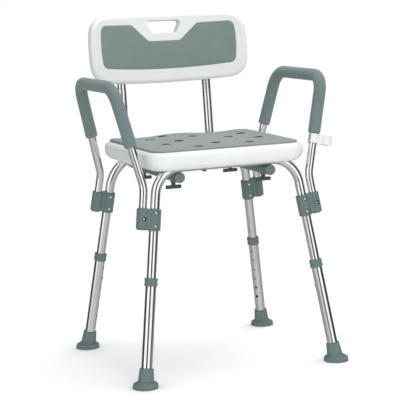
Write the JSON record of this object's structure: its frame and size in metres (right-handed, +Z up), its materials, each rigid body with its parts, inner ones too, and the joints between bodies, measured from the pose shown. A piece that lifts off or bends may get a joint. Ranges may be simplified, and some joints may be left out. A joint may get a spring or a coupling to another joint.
{
  "type": "shower chair",
  "caption": "Height-adjustable shower chair with a padded perforated seat, a padded curved backrest, looped arms with foam grips and a shower-head clip.",
  "frame": {"origin": "on the floor, in the middle of the four feet", "axes": "+Z up, the front faces -Y, +X to the right as seen from the front; left and right in names are as seen from the front"},
  "size_m": [0.5608, 0.5024, 0.8337],
  "materials": {
    "white_plastic": "satin blow-moulded",
    "seat_foam": "fine matt foam skin",
    "back_foam": "fine matt foam skin",
    "grip_foam": "matt closed-cell foam",
    "tube_aluminium": "bright drawn and anodised",
    "grey_plastic": "fine satin",
    "dark_plastic": "fine satin",
    "grey_rubber": "matt",
    "steel": "bright plated",
    "brass": "plain"
  },
  "bodies": {
    "frame": {"seat_shell": "white_plastic", "seat_pad": "seat_foam", "seat_insert": "brass", "rail_screws": "steel", "front_leg_arch": "tube_aluminium", "rear_leg_arch": "tube_aluminium", "clamp_rivets": "steel", "leg_clamp_front_left": "grey_plastic", "leg_spring_front_left": "steel", "arm_spring_front_left": "steel", "leg_clamp_front_right": "grey_plastic", "leg_spring_front_right": "steel", "arm_spring_front_right": "steel", "leg_clamp_rear_left": "grey_plastic", "leg_spring_rear_left": "steel", "arm_spring_rear_left": "steel", "leg_clamp_rear_right": "grey_plastic", "leg_spring_rear_right": "steel", "arm_spring_rear_right": "steel", "arm_tube_left": "tube_aluminium", "arm_grip_left": "grip_foam", "post_sleeve_left": "grey_plastic", "sleeve_plug_left": "grey_plastic", "arm_tube_right": "tube_aluminium", "arm_grip_right": "grip_foam", "post_sleeve_right": "grey_plastic", "sleeve_plug_right": "grey_plastic"},
    "backrest": {"backrest_shell": "white_plastic", "backrest_pad": "back_foam", "backrest_screws": "steel", "post_caps": "grey_plastic", "back_post_left": "tube_aluminium", "back_post_right": "tube_aluminium"},
    "leg_front_left": {"leg_extension_front_left": "tube_aluminium", "leg_collar_front_left": "grey_plastic", "rubber_foot_front_left": "grey_rubber"},
    "leg_button_front_left": {"leg_button_front_left": "steel"},
    "arm_button_front_left": {"arm_button_front_left": "steel"},
    "leg_front_right": {"leg_extension_front_right": "tube_aluminium", "leg_collar_front_right": "grey_plastic", "rubber_foot_front_right": "grey_rubber"},
    "leg_button_front_right": {"leg_button_front_right": "steel"},
    "arm_button_front_right": {"arm_button_front_right": "steel"},
    "leg_rear_left": {"leg_extension_rear_left": "tube_aluminium", "leg_collar_rear_left": "grey_plastic", "rubber_foot_rear_left": "grey_rubber"},
    "leg_button_rear_left": {"leg_button_rear_left": "steel"},
    "arm_button_rear_left": {"arm_button_rear_left": "steel"},
    "leg_rear_right": {"leg_extension_rear_right": "tube_aluminium", "leg_collar_rear_right": "grey_plastic", "rubber_foot_rear_right": "grey_rubber"},
    "leg_button_rear_right": {"leg_button_rear_right": "steel"},
    "arm_button_rear_right": {"arm_button_rear_right": "steel"},
    "knob_front_left": {"knob_front_left": "dark_plastic"},
    "knob_rear_left": {"knob_rear_left": "dark_plastic"},
    "knob_front_right": {"knob_front_right": "dark_plastic"},
    "knob_rear_right": {"knob_rear_right": "dark_plastic"},
    "knob_seat": {"knob_seat": "dark_plastic"},
    "clip": {"shower_head_clip": "white_plastic"}
  },
  "joints": [
    {"name": "backrest_slide", "type": "slide", "parent": "frame", "child": "backrest", "axis": [0, 1, 0], "range_m": [0, 0.24]},
    {"name": "leg_height_front_left", "type": "slide", "parent": "frame", "child": "leg_front_left", "axis": [-0.14, -0.1247, -0.9823], "range_m": [-0.1016, 0.0254], "deforming": ["leg_button_front_left"]},
    {"name": "leg_button_press_front_left", "type": "slide", "parent": "frame", "child": "leg_button_front_left", "axis": [-0.7462, -0.6387, 0.1875], "range_m": [0, 0.004], "stiffness_N_per_m": 1500, "springref_m": -0.002, "deforming": ["leg_spring_front_left"]},
    {"name": "arm_button_press_front_left", "type": "slide", "parent": "frame", "child": "arm_button_front_left", "axis": [0, 0.992, -0.126], "range_m": [0, 0.004], "stiffness_N_per_m": 1500, "springref_m": -0.002, "deforming": ["arm_spring_front_left"]},
    {"name": "leg_height_front_right", "type": "slide", "parent": "frame", "child": "leg_front_right", "axis": [0.14, -0.1247, -0.9823], "range_m": [-0.1016, 0.0254], "deforming": ["leg_button_front_right"]},
    {"name": "leg_button_press_front_right", "type": "slide", "parent": "frame", "child": "leg_button_front_right", "axis": [0.7462, -0.6387, 0.1875], "range_m": [0, 0.004], "stiffness_N_per_m": 1500, "springref_m": -0.002, "deforming": ["leg_spring_front_right"]},
    {"name": "arm_button_press_front_right", "type": "slide", "parent": "frame", "child": "arm_button_front_right", "axis": [0, 0.992, -0.126], "range_m": [0, 0.004], "stiffness_N_per_m": 1500, "springref_m": -0.002, "deforming": ["arm_spring_front_right"]},
    {"name": "leg_height_rear_left", "type": "slide", "parent": "frame", "child": "leg_rear_left", "axis": [-0.14, 0.1247, -0.9823], "range_m": [-0.1016, 0.0254], "deforming": ["leg_button_rear_left"]},
    {"name": "leg_button_press_rear_left", "type": "slide", "parent": "frame", "child": "leg_button_rear_left", "axis": [-0.7462, 0.6387, 0.1875], "range_m": [0, 0.004], "stiffness_N_per_m": 1500, "springref_m": -0.002, "deforming": ["leg_spring_rear_left"]},
    {"name": "arm_button_press_rear_left", "type": "slide", "parent": "frame", "child": "arm_button_rear_left", "axis": [0, -0.992, -0.126], "range_m": [0, 0.004], "stiffness_N_per_m": 1500, "springref_m": -0.002, "deforming": ["arm_spring_rear_left"]},
    {"name": "leg_height_rear_right", "type": "slide", "parent": "frame", "child": "leg_rear_right", "axis": [0.14, 0.1247, -0.9823], "range_m": [-0.1016, 0.0254], "deforming": ["leg_button_rear_right"]},
    {"name": "leg_button_press_rear_right", "type": "slide", "parent": "frame", "child": "leg_button_rear_right", "axis": [0.7462, 0.6387, 0.1875], "range_m": [0, 0.004], "stiffness_N_per_m": 1500, "springref_m": -0.002, "deforming": ["leg_spring_rear_right"]},
    {"name": "arm_button_press_rear_right", "type": "slide", "parent": "frame", "child": "arm_button_rear_right", "axis": [0, -0.992, -0.126], "range_m": [0, 0.004], "stiffness_N_per_m": 1500, "springref_m": -0.002, "deforming": ["arm_spring_rear_right"]},
    {"name": "knob_front_left_turn", "type": "hinge", "parent": "frame", "child": "knob_front_left", "pos_m": [-0.116, -0.098, 0.449], "axis": [0, 0, -1], "range_deg": [0, 450]},
    {"name": "knob_rear_left_turn", "type": "hinge", "parent": "frame", "child": "knob_rear_left", "pos_m": [-0.116, 0.098, 0.449], "axis": [0, 0, -1], "range_deg": [0, 450]},
    {"name": "knob_front_right_turn", "type": "hinge", "parent": "frame", "child": "knob_front_right", "pos_m": [0.116, -0.098, 0.449], "axis": [0, 0, -1], "range_deg": [0, 450]},
    {"name": "knob_rear_right_turn", "type": "hinge", "parent": "frame", "child": "knob_rear_right", "pos_m": [0.116, 0.098, 0.449], "axis": [0, 0, -1], "range_deg": [0, 450]},
    {"name": "knob_seat_turn", "type": "hinge", "parent": "frame", "child": "knob_seat", "pos_m": [0, -0.006, 0.473], "axis": [0, 0, -1], "range_deg": [0, 450]},
    {"name": "clip_turn", "type": "hinge", "parent": "frame", "child": "clip", "pos_m": [0.22995, -0.14254, 0.53245], "axis": [0.2317, 0.1207, 0.9653], "range_deg": [-90, 90]}
  ]
}
